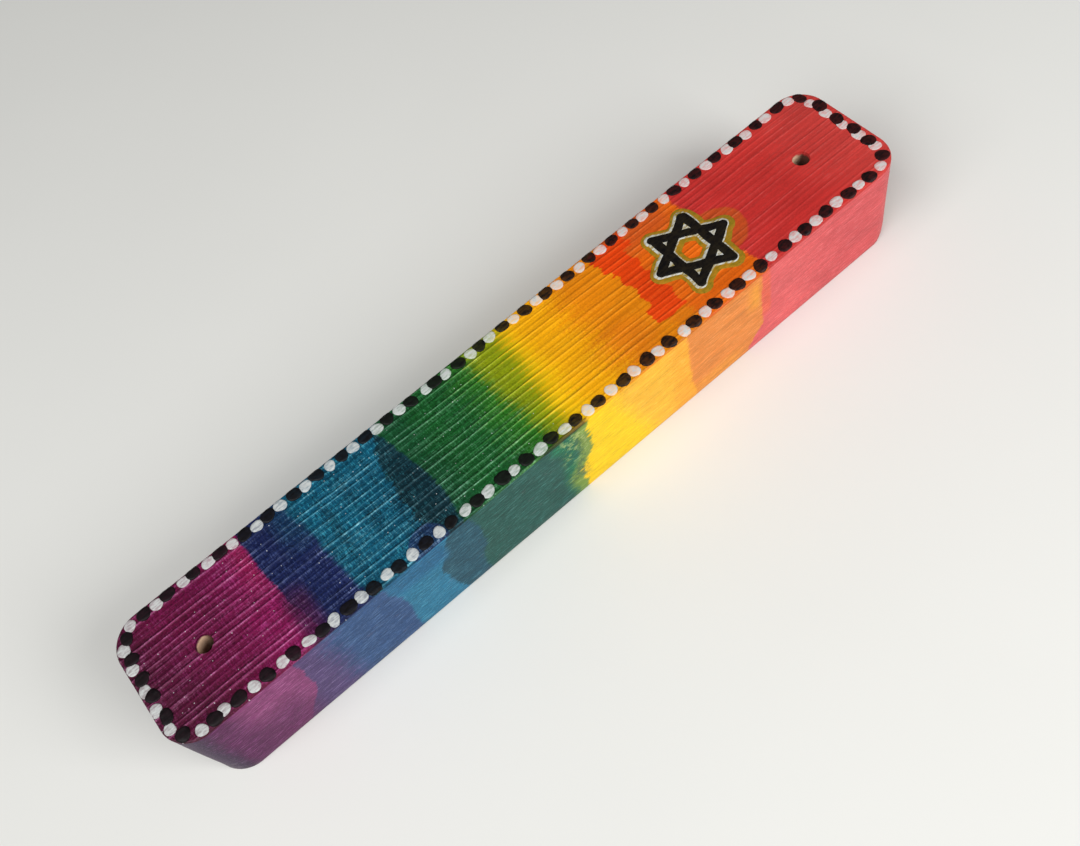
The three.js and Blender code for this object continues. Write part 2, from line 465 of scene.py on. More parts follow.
def face_paint(brush, paints):
    """The rainbow bands of the painted face, from the red end down to the purple one."""
    x, y, wander, grit = brush.x, brush.y, brush.wander, brush.grit
    left_edge = x.falls(-9.0, -4.0) * y.falls(37.0, 42.0) * 0.6
    patch = brush.stroke((-11.6, 7.6), (24.9, 29.6), ragged=0.5)
    patch = patch.at_least(brush.stroke((-11.6, -7.7), (24.3, 32.0)))
    patch = patch.at_least(brush.stroke((-11.6, -4.6), (24.2, 28.0)))
    patch = patch.at_least(brush.stroke((3.9, 7.6), (23.7, 27.0), ragged=0.3))
    left = (-2.0 - x).at_least(0.0)
    thin = (wander * 5.0 - x).rises(1.0, 6.0) * y.between(-46.5, -42.5, -41.0, -40.0)
    dusk = (x + wander * 3.0).rises(0.5, 5.0) * (y + grit).rises(-51.5, -49.0)
    dusk = dusk * (y + grit * 1.5).falls(-47.5, -45.0)
    blush = x.falls(-6.0, 2.0) * y.between(-55.0, -51.0, -50.4, -50.0)
    return brush.layers(
        paints.rose, paints,
        ("red", 64.0, 16.0),
        ("crimson", x * 0.6 + 56.0, 14.0),
        ("rust", brush.disc((0.7, 43.2), 4.9, 0.5)),
        ("tangerine", x * 0.05 + 42.3, 0.9, 0.4),
        ("rust", left_edge),
        ("apricot", x * 0.12 + 28.2, 1.6, 0.5),
        ("amber", 25.5, 3.0, 0.8),
        ("apricot", brush.disc((6.5, 17.0), 4.6, 4.0, 0.7) * 0.8),
        ("vermilion", patch),
        ("gold", 14.0, 9.0, 1.6, 2.0),
        ("yellow", 6.0, 5.5, 1.2, 2.0),
        ("olive", x * -0.12 + 2.9, 4.6, 0.6, 2.4),
        ("leaf", x * 0.05 - 2.4, 3.4, 0.8, 2.0),
        ("green", -7.0, 7.0, 1.6, 2.0),
        ("pine", -17.0, 6.0, 1.0),
        ("night", x * 0.09 - x * x * 0.008 - 20.9, 0.6, 0.3),
        ("pine", brush.stroke((-6.4, 3.2), (-27.8, -26.0), 0.8) * 0.8),
        ("teal", left * left * 0.045 - 26.1, 0.8, 0.6),
        ("navy", brush.disc((11.6, -27.4), 3.3, 0.4) * 0.85),
        ("indigo", x * 0.12 - 40.2, 1.2, 0.5),
        ("teal", thin * 0.3),
        ("magenta", x.rises(1.0, 9.0) * 2.0 - 50.0, 0.5, 0.15),
        ("plum", dusk * 0.85),
        ("crimson", blush * 0.1),
        ("purple", -57.0, 9.0, 1.5),
        ("deep_purple", x * 0.3 - 68.0, 8.0, 1.5),
    )


def wall_paint(brush, paints):
    """The walls' bands, paler and chalkier than the face's: partly their own paint, partly painted sheen of
    the varnish as seen on the lit side. They follow the height up the wall as well as the length.
    """
    y, z = brush.y, brush.z
    light = z.between(10.0, 13.0, 17.0, 19.0) * y.between(37.5, 40.5, 40.5, 41.5)
    hill = z.rises(6.0, 11.5) * 3.2
    mottle = brush.noise(0.7, 0.6, seed=21.0, detail=4.0, roughness=0.65)
    deep = mottle.falls(0.42, 0.5) * y.between(-3.2, -0.8, 1.0, 2.6) * z.rises(2.0, 6.0)
    sprout = mottle.rises(0.47, 0.58) * y.between(-3.2, -0.8, 2.2, 3.4) * z.rises(9.0, 13.0)
    bowl = z - 9.0
    return brush.layers(
        paints.coral, paints,
        ("warm_coral", 54.0, 16.0, 2.0),
        ("salmon", z.rises(6.0, 9.0) * y.falls(43.2, 44.0)),
        ("peach", 41.6 - z.falls(0.5, 5.5) * 3.0, 0.5, 0.25),
        ("light_amber", light * 0.55),
        ("light_amber", z.falls(2.0, 5.0) * y.falls(34.0, 38.0) * 0.35),
        ("light_amber", z * -0.02 + 25.2, 0.7, 0.15),
        ("straw", 21.0, 4.0, 1.0),
        ("lemon", 15.8 - z * 0.34, 5.0, 0.6),
        ("sage", hill + 0.3, 0.6, 1.0),
        ("fern", hill * 0.9 - 2.0, 2.0, 0.8),
        ("spruce", z.rises(14.0, 18.0) * -1.0 - 2.4, 2.6, 0.8),
        ("spruce", deep * 0.6),
        ("sprout", sprout * 0.6),
        ("slate", z.falls(4.0, 10.0) * -1.8 - 19.8, 0.9, 0.4),
        ("sky", bowl * bowl * 0.036 - 28.2, 0.5, 0.3),
        ("dull_sky", z.rises(12.5, 15.5) * y.falls(-27.0, -25.0)),
        ("periwinkle", z.rises(13.0, 17.0) * -1.2 - 35.7, 0.7, 0.3),
        ("heather", -49.0, 6.0, 1.4),
        ("orchid", -54.4 - (9.0 - z).at_least(0.0) * 0.55, 0.5, 0.35),
        ("mauve", z.falls(7.0, 15.0) * y.falls(-60.0, -54.0) * 0.8),
        ("mauve", -65.5, 5.0, 1.0),
        ("dust", -70.5, 3.0, 0.8),
    )


def wood_figure(finish, pith, pitch):
    """Growth rings as cones round a pith line along the case: 0 in early wood, 1 in late wood."""
    dx = finish.x - pith[0]
    dz = finish.z - pith[1]
    drift = finish.noise(0.10, 0.012, seed=5.0, detail=2.0) * 2.0
    turns = ((dx * dx + dz * dz) ** 0.5 + finish.y * 0.026 + drift) / pitch
    ring_place = turns.remainder()
    return ring_place ** 2.2 * ring_place.falls(0.9, 1.0)


def bare_wood(finish, pale, dark, pith, pitch):
    """Returns the colour and the height of bare planed wood."""
    rings = wood_figure(finish, pith, pitch)
    fibre = finish.noise(5.0, 0.16, seed=12.0, detail=4.0)
    pore = finish.noise(9.0, 0.5, seed=30.0, detail=2.0).rises(0.64, 0.72)
    tone = rings * 0.55 + fibre * 0.5 + pore * 0.35
    colour = finish.mix(pale, dark, tone)
    height = fibre * 0.6 - rings * 0.15 - pore * 0.5
    return colour, height


def inside_mask(finish, sizes):
    """1 on the surfaces cut into the block: groove, pocket and screw holes."""
    x, y, z = finish.x.magnitude(), finish.y, finish.z
    groove_top = COVER_HIGH[2] + sizes.gap / MM
    end = COVER_LOW[1] - sizes.gap / MM
    groove = x.falls(9.4, 9.5) * z.falls(groove_top + 0.1, groove_top + 0.2)
    groove = groove * y.between(end - 0.4, end - 0.3, 74.3, 74.5)
    half_width, half_length = sizes.pocket_width / MM / 2, sizes.pocket_length / MM / 2
    floor = sizes.pocket_floor / MM
    pocket = x.falls(half_width + 0.1, half_width + 0.2) * z.falls(floor + 0.1, floor + 0.2)
    pocket = pocket * y.magnitude().falls(half_length + 0.1, half_length + 0.2)
    from_hole = y.magnitude() - sizes.hole_offset / MM
    radius = sizes.hole_radius / MM
    distance = (x * x + from_hole * from_hole) ** 0.5
    hole = distance.falls(radius + 0.1, radius + 0.14) * z.falls(CASE_DEPTH - 0.7, CASE_DEPTH - 0.4)
    return groove.at_least(pocket).at_least(hole)


class BlockBrushwork(Brushwork):
    """The painted block's finish, with the marks that its parts share.

    on_face is 1 on the painted face and 0 on the walls. cool is 1 in the green and all below it.
    """

    def __init__(self, pitch):
        super().__init__("painted_block", pitch)
        self.pitch = pitch
        self.on_face = self.z.rises(CASE_DEPTH - 0.75, CASE_DEPTH - 0.4)
        self.cool = self.y.falls(-6.0, 4.0)
        self.streak = self.noise(2.6, 0.05, seed=1.0, detail=4.0)
        self.hair = self.noise(6.0, 0.30, seed=7.0)
        self.blotch = self.noise(0.35, 0.12, seed=14.0)
        self.hatch = self.noise(0.9, 4.2, seed=18.0)
        self.broken = self.noise(1.6, 0.9, seed=16.0, roughness=0.6)
        self.scratch = self.noise(5.2, 0.42, seed=25.0, detail=5.0, roughness=0.65)
        self.scuff = self.noise(1.1, 0.3, seed=27.0, detail=4.0, roughness=0.6)

    def brushed_face(self, paints):
        """The face's bands with their grain: crests paler, partly paint worn thin and partly painted
        highlight; furrows darker, with painted shade on each crest's flank away from the key light;
        cross-hatching and streaks.
        """
        y, crest, cool = self.y, self.crest, self.cool
        face = face_paint(self, paints)
        teal = y.between(-43.0, -39.0, -25.0, -21.0)
        calm = y.between(-50.0, -48.0, -43.0, -40.0) + y.between(-27.0, -25.5, -21.5, -20.5)
        quiet = 1 - calm * 0.7
        fade = self.noise(0.55, 0.05, seed=19.0, detail=2.0).rises(0.36, 0.58)
        thread = self.noise(3.6, 0.07, seed=20.0).rises(0.52, 0.66)
        # Crests lightened towards a paler copy of the paint: partly paint worn thin on the crests, partly
        # painted highlight, mixed with a pale grey painted sheen in the cool bands.
        crest_wear_and_highlight = crest.rises(0.3, 0.75) * (fade * 0.6 + 0.4) + thread * 0.45
        crest_wear_and_highlight = crest_wear_and_highlight * (self.broken + self.hair * 0.6).rises(0.5, 0.92) * quiet
        dashes = self.noise(2.4, 0.8, seed=17.0, detail=4.0, roughness=0.7).rises(0.45, 0.62)
        bright = self.mix(self.gamma(face, 0.52), (0.6, 0.62, 0.6, 1.0), cool * 0.08)
        face = self.mix(face, bright, crest_wear_and_highlight * (dashes * 0.6 + 0.4) * (cool * 0.6 + 0.4))
        # Painted shade and highlight of the grain: the flank of each crest on the side away from the key
        # light is darkened and the crests are lightened, with this shading weaker in the red band.
        shaded_flank = grain_crest(self.x + 0.27, y, Field.sine, self.pitch)
        relief_shading = cool * 0.5 - y.rises(42.0, 48.0) * 0.6 + 1.2
        sweep = (self.noise(0.07, 0.5, seed=22.0) - 0.5) * (teal * 0.9 + cool * 0.3)
        tone = self.grit * (cool * 2.3 + 0.8) + (self.streak + self.blotch - 1.0) * 0.5 + sweep
        tone = tone + (crest * 0.16 - shaded_flank * 0.30) * quiet * relief_shading
        face = self.shade(face, tone + 0.98)
        weave = self.hatch.rises(0.48, 0.64) * self.hair.rises(0.40, 0.6) * (teal * 0.4 + cool * 0.55)
        face = self.mix(face, self.gamma(face, 0.55), weave)
        # Darker in the cool bands wherever the face lies more than 0.22 mm under its top: the dark green on
        # the eased edge, and the furrows' floors as well.
        arris = self.z.falls(CASE_DEPTH - 0.22, CASE_DEPTH - 0.1)
        return self.mix(face, self.gamma(face, 1.25), arris * cool * 0.8)

    def scuffed_wall(self, paints):
        """The walls' bands, scratched and streaked lighter, the light streaks partly painted sheen, scuffed
        and rubbed bare of colour at the lower corners.
        """
        y, z = self.y, self.z
        cool = y.falls(-4.0, 2.0)
        wall = wall_paint(self, paints)
        tone = (self.streak + self.blotch - 1.0) * 0.4 + self.grit * (cool * 1.1 + 0.5)
        wall = self.shade(wall, tone + (self.scratch - 0.5) * (cool * 0.6 + 0.8) + 0.96)
        # Light streaks along the wall: partly scratches in the paint, partly painted sheen on the brush
        # streaks.
        scratch_and_sheen = self.scratch.rises(0.53, 0.66) * (cool * 0.3 + 0.7)
        wall = self.mix(wall, self.gamma(wall, 0.6), scratch_and_sheen * 0.66)
        wall = self.mix(wall, self.gamma(wall, 1.35), self.scuff.rises(0.55, 0.75) * cool * 0.35)
        corner = y.magnitude().rises(68.0, 73.0) * (z.falls(2.0, 8.0) + z.rises(14.0, 18.0) * 0.5)
        rubbed = (corner * 0.15 + self.scuff + self.grit * 0.3).rises(0.62, 0.85) * cool
        return self.mix(wall, (0.24, 0.20, 0.24, 1.0), rubbed * 0.4)

    def seamed(self, paint, black):
        """The paint with a short dark line on the right arris and small painted glints of the varnish in the
        cool bands.
        """
        seam = self.x.rises(11.7, 11.9) * self.z.rises(18.9, 19.3)
        seam = seam * (self.y + self.grit * 4.0).rises(-7.0, -4.5)
        seam = seam * (self.y + self.grit * 2.0).falls(3.0, 4.5)
        paint = self.mix(paint, black, seam * 0.8)
        # Painted glints: pale specks that stand for the varnish catching the light.
        glint = self.specks(0.55, 0.055, 0.3) * self.y.falls(-4.0, 6.0) * self.on_face
        return self.mix(paint, (0.62, 0.64, 0.64, 1.0), glint * (self.broken.rises(0.3, 0.6) * 0.6 + 0.2))

    def wood_with_shaded_holes(self, wood, face, paints, offset):
        """The bare wood, with the screw holes' upper halves in painted light on one side and painted shade
        on the other, darker deeper down.
        """
        from_hole = self.y - offset + self.y.falls(-1.0, 1.0) * (2 * offset)
        # Painted light and shade: the side of each hole facing the key light is pale, the far side and the
        # depths are dark.
        shaded = self.x + from_hole * 0.8 + (CASE_DEPTH - self.z) * 0.2 + self.grit * 0.6
        hole_light_and_shade = self.mix(paints.hole_painted_light, paints.hole_painted_shade, shaded.rises(-1.3, 0.4))
        rim_paint = (self.z + self.broken).rises(CASE_DEPTH - 0.6, CASE_DEPTH)
        hole_light_and_shade = self.mix(hole_light_and_shade, face, rim_paint)
        return self.mix(wood, hole_light_and_shade, self.z.rises(6.0, 14.0) * self.y.magnitude().rises(58.0, 58.5))

    def bare_back(self):
        """1 on the back, inside an uneven line where the walls' paint creeps over the edge."""
        creep = self.noise(0.5, 0.5, seed=33.0) * 1.6
        edge = (self.x.magnitude() - 10.4).at_least(self.y.magnitude() - 73.1) + creep
        return self.z.falls(0.12, 0.2) * edge.falls(1.0, 1.5)


def painted_block_finish(settings):
    """Brushed acrylic over raised grain, under a satin varnish, with bare wood on the back and inside."""
    sizes, paints = settings.case, settings.paints
    brush = BlockBrushwork(sizes.grain_pitch / MM)
    face = brush.brushed_face(paints.face)
    paint = brush.mix(brush.scuffed_wall(paints.wall), face, brush.on_face)
    wood, wood_height = bare_wood(brush, paints.pale_wood, paints.dark_wood, (-70.0, 14.0), 1.27)
    wood = brush.wood_with_shaded_holes(wood, face, paints, sizes.hole_offset / MM)
    bare = inside_mask(brush, sizes).at_least(brush.bare_back())
    painted = 1 - bare

    wall_marks = brush.scratch * 0.8 + brush.scuff * 0.3
    face_marks = brush.hair * 0.7 + brush.grit * 0.8 + brush.hatch * brush.cool * 0.3
    height = brush.mix(brush.mix(wall_marks, face_marks, brush.on_face), wood_height, bare)
    return brush.surface(
        Base_Color=brush.mix(brush.seamed(paint, paints.black), wood, bare),
        Roughness=0.74 - painted * 0.30 + brush.hair * 0.14 - brush.scratch * 0.1,
        Coat_Weight=painted * (brush.on_face * 0.08 + 0.03),
        Coat_Roughness=0.2,
        Specular_IOR_Level=0.15,
        Normal=brush.bump(height, 0.06, 1.0),
    )


def sanded_wood_finish(settings):
    """The cover's bare wood: paler than the block, its rings nearly flat across it."""
    finish = Finish("sanded_wood")
    paints = settings.paints
    colour, height = bare_wood(finish, paints.cover_pale, paints.cover_dark, (-3.0, 60.0), 1.1)
    soil = finish.noise(0.12, 0.05, seed=40.0)
    colour = finish.shade(colour, soil * 0.25 + 0.87)
    return finish.surface(
        Base_Color=colour,
        Roughness=0.68 + height * 0.12,
        Normal=finish.bump(height, 0.04, 0.9),
    )


def dot_paint_finish(name, settings, colour, cover, gloss, under=None):
    """Paint dabbed over the bands, or over the colour under, which it hides by the share cover."""
    brush = Brushwork(name, settings.case.grain_pitch / MM)
    streak = brush.noise(3.0, 0.6, seed=50.0)
    daub = brush.noise(1.3, 1.3, seed=52.0)
    thin = (streak + daub * 0.6 + brush.grit * 0.6).rises(0.55, 1.05)
    shown = brush.shade(colour, (streak - 0.5) * 0.6 + (daub - 0.5) * 0.8 + brush.grit * 0.5 + 1.0)
    if under is None:
        under = face_paint(brush, settings.paints.face)
    return brush.surface(
        Base_Color=brush.mix(shown, under, thin * (1 - cover)),
        Roughness=gloss + daub * 0.2,
        Coat_Weight=daub.rises(0.3, 0.7) * 0.06,
        Coat_Roughness=0.2,
        Specular_IOR_Level=0.15,
        Normal=brush.bump(streak * 0.6 + daub * 0.4 + brush.grit * 0.4, 0.07, 1.0),
    )


def parchment_finish(settings):
    """Scraped skin: cream, mottled, faintly veined."""
    finish = Finish("parchment")
    paints = settings.paints
    mottle = finish.noise(0.22, 0.15, seed=60.0, detail=5.0, roughness=0.6)
    grain = finish.noise(6.0, 6.0, seed=61.0)
    vein = (finish.noise(0.3, 0.2, seed=62.0, detail=2.0) - 0.5).magnitude().falls(0.01, 0.03)
    colour = finish.mix(paints.parchment_pale, paints.parchment_dark, mottle + vein * 0.3)
    return finish.surface(
        Base_Color=finish.shade(colour, grain * 0.15 + 0.92),
        Roughness=0.62 + grain * 0.2,
        Sheen_Weight=0.15,
        Normal=finish.bump(grain * 0.6 + mottle * 0.4, 0.03, 0.8),
    )


def clear_film_finish(settings):
    """Thin clear film, hazier where it has been handled."""
    finish = Finish("clear_film")
    haze = finish.noise(0.3, 0.1, seed=70.0, detail=4.0)
    crinkle = finish.noise(0.5, 0.2, seed=71.0, detail=2.0)
    return finish.surface(
        Base_Color=settings.paints.film,
        Roughness=haze * 0.2 + 0.05,
        Alpha=haze * 0.14 + 0.14,
        Normal=finish.bump(crinkle, 0.15, 0.6),
    )


def floor_finish(settings):
    """A plain pale floor with a barely visible mottle."""
    finish = Finish("floor")
    mottle = finish.noise(0.02, 0.02, seed=80.0)
    colour = finish.shade(settings.stage.floor_colour, mottle * 0.04 + 0.98)
    return finish.surface(Base_Color=colour, Roughness=0.85)


# ---- shapes of the pieces ----


def settle(points, sizes):
    """Moves plan points inside the outline and returns them with the face's height there.

    The distance to the outline is that of a rounded rectangle. Within an edge ease of it the
    height drops along the quarter circle of the eased edge.
    """
    radius, ease = sizes.corner_radius / MM, sizes.edge_ease / MM
    core = np.array([CASE_WIDTH, CASE_LENGTH]) / 2 - radius
    beyond = np.maximum(np.abs(points) - core, 0)
    reach = np.linalg.norm(beyond, axis=-1, keepdims=True)
    held = np.minimum(reach, radius - 0.03)
    points = points - np.sign(points) * beyond * (1 - held / np.maximum(reach, 1e-6))
    over = np.clip(held[..., 0] - radius + ease, 0, ease)
    drop = ease - np.sqrt(ease ** 2 - over ** 2)
    relief = face_relief(points[..., 0], points[..., 1], sizes.grain_pitch / MM, sizes.grain_depth / MM)
    return points, CASE_DEPTH - drop, relief


DAB_PROFILE = ((0.9, -0.8), (0.99, -0.2), (1.0, 0.3), (0.93, 0.75), (0.7, 0.95), (0.3, 1.0))


def dab(start, end, half_width, thickness, sizes, waver, cap=9, side=0):
    """Rings of one dab of paint: a round-ended stroke, domed, lying in the face's grain.

    Each ring is the stroke's outline at a share of its half width. The outline wavers as two
    sines round it, with phases from waver. The paint half fills the furrows under it.
    """
    run = end - start
    heading = math.atan2(run[1], run[0])
    turn = np.linspace(-math.pi / 2, math.pi / 2, cap)
    right_angle = np.full(side, math.pi / 2)
    angle = np.concatenate([turn, right_angle, turn + math.pi, -right_angle])
    step = np.linspace(0, 1, side + 2)[1:-1]
    along = np.concatenate([np.ones(cap), 1 - step, np.zeros(cap), step])
    direction = np.stack([np.cos(angle + heading), np.sin(angle + heading)], -1)
    round_it = np.linspace(0, TURN, len(angle), endpoint=False)
    lobes = 2 + side // 8
    waviness = 1 + 0.07 * np.sin(lobes * round_it + waver[0])
    waviness = waviness + 0.05 * np.sin((lobes + 1) * round_it + waver[1])
    share, height = np.array(DAB_PROFILE).T
    offset = half_width * share[:, None] * waviness
    plan = start + run * along[:, None] + direction * offset[..., None]
    plan, top, relief = settle(plan, sizes)
    rise = height[:, None]
    z = top + relief * (1 - 0.5 * np.maximum(rise, 0)) + thickness * rise
    return np.concatenate([plan, z[..., None]], -1)


def border_places(side, count, first, inset, jitter, sizes):
    """Centres and headings of a row of dots along one side, from one corner dot to the next.

    A side runs through half of one corner, straight along the edge, and through half of the next
    corner, and the dots are spaced evenly along it apart from the jitter.
    """
    radius = sizes.corner_radius / MM
    normal = np.array([math.cos(side * TURN / 4), math.sin(side * TURN / 4)])
    tangent = np.array([-normal[1], normal[0]])
    core = np.array([CASE_WIDTH, CASE_LENGTH]) / 2 - radius
    out, half = abs(normal @ core), abs(tangent @ core)
    arc = (radius - inset) * TURN / 8
    along = (np.arange(count) + first) / count * 2 * (arc + half) + jitter[:, 0]
    bend = np.clip(along / arc, 0, 1) + np.clip((along - arc - 2 * half) / arc, 0, 1) - 1
    angle = bend * TURN / 8
    straight = np.clip(along - arc, 0, 2 * half) - half
    outwards = np.cos(angle)[:, None] * normal + np.sin(angle)[:, None] * tangent
    centres = normal * out + tangent * straight[:, None] + outwards * (radius - inset + jitter[:, 1:])
    return centres, np.stack([-outwards[:, 1], outwards[:, 0]], -1)


def border_skin(sizes, dots, first, insets, width, length, thickness, dice):
    """One colour's dots round all four sides."""
    skin = Skin()
    for side, (count, inset) in enumerate(zip(DOT_COUNTS, insets)):
        jitter = dice.normal(0, 1, (count, 2)) * (dots.scatter / MM, dots.scatter / MM * 0.5)
        jitter[:1] *= first * 2
        centres, headings = border_places(side, count, first, inset, jitter, sizes)
        size = 1 + dice.normal(0, 0.06, (count, 2))
        lean = dice.normal(0, 0.35, count)
        waver = dice.uniform(0, TURN, (count, 2))
        for place, heading, scale, tilt, phases in zip(centres, headings, size, lean, waver):
            turned_by = np.array([[math.cos(tilt), -math.sin(tilt)], [math.sin(tilt), math.cos(tilt)]])
            half_run = turned_by @ heading * max(length * scale[0] - width * scale[1], 0.05) / 2
            rings = dab(place - half_run, place + half_run, width * scale[1] / 2, thickness, sizes, phases)
            skin.add_loft(rings)
    return skin


def star_strokes(emblem, dice):
    """The six straight strokes of a six-pointed star, as start and end points."""
    corner = np.arange(6) * TURN / 6 + TURN / 4
    centre = np.array([emblem.centre_x, emblem.centre_y]) / MM
    points = centre + emblem.radius / MM * np.stack([np.cos(corner), np.sin(corner)], -1)
    starts = points + dice.normal(0, 0.12, (6, 2))
    ends = points[(np.arange(6) + 2) % 6] + dice.normal(0, 0.12, (6, 2))
    return zip(starts, ends)


def star_layer(name, settings, half_width, thickness, shift):
    """One layer of the star's paint: its six strokes joined into one skin of paint."""
    emblem = settings.emblem
    dice = np.random.default_rng(emblem.seed)
    solids = []
    for number, (start, end) in enumerate(star_strokes(emblem, dice)):
        phases = dice.uniform(0, TURN, 2)
        rings = dab(
            start + shift, end + shift, half_width, thickness * (1 + 0.05 * number),
            settings.case, phases, side=30,
        )
        solids.append(rings)
    skin = Skin()
    skin.add_loft(solids[0])
    piece = skin.make(name)
    carve(piece, [(rings, "UNION") for rings in solids[1:]])
    smooth(piece.data, 50)
    return piece


def scroll_skin(roll):
    """The parchment: a strip's section carried along a spiral, r = start + pitch times the turns.

    The strip bulges a little along its length, and its two long edges are not quite level.
    """
    thickness, pitch, turns = roll.parchment / MM, roll.spiral_pitch / MM, roll.turns
    axis = (SCROLL_LOW[2] + SCROLL_HIGH[2]) / 2
    half = SCROLL_HIGH[1]
    outer = SCROLL_HIGH[0]
    turn = np.linspace(0, turns, 260)[:, None]
    length = np.linspace(-1, 1, 48)
    side = np.concatenate([np.zeros(48), np.ones(48)])
    across = np.concatenate([length, length[::-1]])
    angle = TURN * turn
    bulge = 0.06 * np.sin(3 * across + 1.2) + 0.04 * np.sin(angle * 2 + 5 * across) - 0.1
    radius = outer - thickness - pitch * (turns - turn) + side * thickness + bulge
    uneven = 0.25 * np.sin(2.3 * turn + 0.7) - 0.3
    y = across * (half + uneven)
    rings = np.stack([radius * np.cos(angle), y, axis + radius * np.sin(angle)], -1)
    skin = Skin()
    skin.add_loft(rings)
    return skin


def sleeve_skin(roll):
    """The clear sleeve: a thin wall's section with round lips, turned about the case's length."""
    wall = roll.film / MM
    axis = (SLEEVE_LOW[2] + SLEEVE_HIGH[2]) / 2
    outer = (SLEEVE_HIGH[0] - SLEEVE_LOW[0]) / 2
    half = SLEEVE_HIGH[1] - wall / 2
    lip = np.linspace(0, math.pi, 9)
    straight = np.linspace(-half, half, 42)[1:-1]
    offset = np.concatenate([np.cos(lip), -np.ones(40), -np.cos(lip), np.ones(40)]) * wall / 2
    ends = np.sin(lip) * wall / 2
    y = np.concatenate([half + ends, straight[::-1], -half - ends, straight])
    angle = np.linspace(0, TURN, 96, endpoint=False)[:, None]
    dent = 0.05 * np.sin(2 * angle + 0.03 * y) - 0.05
    radius = outer - wall / 2 + offset + dent
    rings = np.stack([radius * np.cos(angle), y + 0 * angle, axis + radius * np.sin(angle)], -1)
    skin = Skin()
    skin.add_loft(rings, closed=True)
    return skin


def hole_cutter(sizes, y):
    """A screw hole with a slightly flared, worn rim at the painted face."""
    radius = sizes.hole_radius / MM
    flare = CASE_DEPTH + sizes.grain_depth / MM
    profile = [(-OVERCUT, radius), (CASE_DEPTH - 0.8, radius), (CASE_DEPTH - 0.35, radius + 0.03)]
    return turned(profile + [(flare, radius + 0.1)], (0, y))


def rounded_plan(half_x, half_y, radius, steps=12):
    """A rectangle's outline with round corners, anticlockwise."""
    angle = np.linspace(0, TURN / 4, steps)
    corners = []
    for quarter, (x, y) in enumerate(((1, 1), (-1, 1), (-1, -1), (1, -1))):
        turned_angle = angle + quarter * TURN / 4
        centre = np.array([x * (half_x - radius), y * (half_y - radius)])
        corners.append(centre + radius * np.stack([np.cos(turned_angle), np.sin(turned_angle)], -1))
    return np.concatenate(corners)


def finger_notch(sizes):
    """A cylinder lying across the cover, sunk into its outside by the notch's depth."""
    radius, depth, half = sizes.notch_radius / MM, sizes.notch_depth / MM, sizes.notch_width / MM / 2
    section = circle(radius, 96) + np.array([sizes.notch_place / MM, depth - radius])
    ends = np.array([-half, half])[:, None, None]
    return np.concatenate([np.broadcast_to(ends, (2, 96, 1)), np.broadcast_to(section, (2, 96, 2))], -1)


def fit_piece(piece, finish, body, slot, *nodes):
    """Gives a piece its finish and the body that it rides on, and hides the imported nodes that it stands
    for. The slot is not used.
    """
    piece.data.materials.clear()
    piece.data.materials.append(finish)
    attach(piece, body)
    if nodes:
        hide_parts(*nodes)


# ---- settings ----

# The border's sides in turn: right, top end, left, lower end. Insets are in millimetres.
DOT_COUNTS = (29, 5, 30, 5)
BLACK_INSETS = (1.25, 1.5, 1.1, 1.7)
WHITE_INSETS = (1.25, 2.0, 1.2, 1.2)


def size(name, mm, description):
    """A length property, given in millimetres and kept in metres."""
    return FloatProperty(
        name=name, description=description, default=mm * MM, min=0, precision=5, unit="LENGTH",
    )


def angle_property(name, degrees, description):
    """An angle property, given in degrees."""
    return FloatProperty(
        name=name, description=description, default=math.radians(degrees), subtype="ANGLE",
    )


def place_property(name, metres, description):
    """A property for a point in the scene."""
    return FloatVectorProperty(
        name=name, description=description, default=metres, subtype="TRANSLATION", unit="LENGTH",
    )


def power_property(name, watts, description):
    """A property for a lamp's power."""
    return FloatProperty(name=name, description=description, default=watts, min=0, unit="POWER")


def paint(name, text, description):
    """A colour property from a display colour."""
    return FloatVectorProperty(
        name=name, description=description, default=hex_colour(text), size=4, min=0, max=1,
        subtype="COLOR",
    )


class CaseSizes(bpy.types.PropertyGroup):
    """Sizes of the block and its sliding cover."""

    corner_radius: size("Corner Radius", 5.5, "Radius of the four corners seen from the front")
    edge_ease: size("Edge Ease", 0.4, "Radius of the edges of the front and back faces")
    corner_wear: size("Corner Wear", 2.0, "Radius of the back's edge at the two top corners")
    grain_pitch: size("Grain Pitch", 1.26, "Distance from one raised line of grain to the next")
    grain_depth: size("Grain Depth", 0.16, "Depth of the furrows between the lines of grain")
    gap: size("Gap", 0.3, "Clearance between the cover and its groove")
    groove_mouth: size("Groove Mouth", 15.8, "Width of the dovetail groove at the back face")
    dovetail_angle: angle_property("Dovetail Angle", 20, "Slope of the groove's sides")
    pocket_width: size("Pocket Width", 14, "Width of the scroll's pocket")
    pocket_length: size("Pocket Length", 113, "Length of the scroll's pocket")
    pocket_floor: size("Pocket Floor", 16.3, "Height of the pocket's deepest face above the back")
    pocket_radius: size("Pocket Radius", 3, "Radius of the pocket's corners")
    hole_radius: size("Hole Radius", 1.5, "Radius of the two screw holes")
    hole_offset: size("Hole Offset", 63, "Distance of each screw hole from the middle of the case")
    notch_place: size("Notch Place", 48, "Distance of the cover's finger notch from the middle")
    notch_width: size("Notch Width", 9, "Length of the finger notch across the cover")
    notch_radius: size("Notch Radius", 6, "Radius of the finger notch")
    notch_depth: size("Notch Depth", 1.2, "Depth of the finger notch")
    cover_edge: size("Cover Edge", 0.2, "Width of the cover's softened edges")


class RollSizes(bpy.types.PropertyGroup):
    """Sizes of the parchment and its sleeve."""

    parchment: size("Parchment", 0.35, "Thickness of the parchment")
    spiral_pitch: size("Spiral Pitch", 0.7, "Distance from one turn of the roll to the next")
    turns: FloatProperty(name="Turns", description="Turns in the roll", default=4.1, min=1)
    film: size("Film", 0.4, "Thickness of the sleeve's wall")


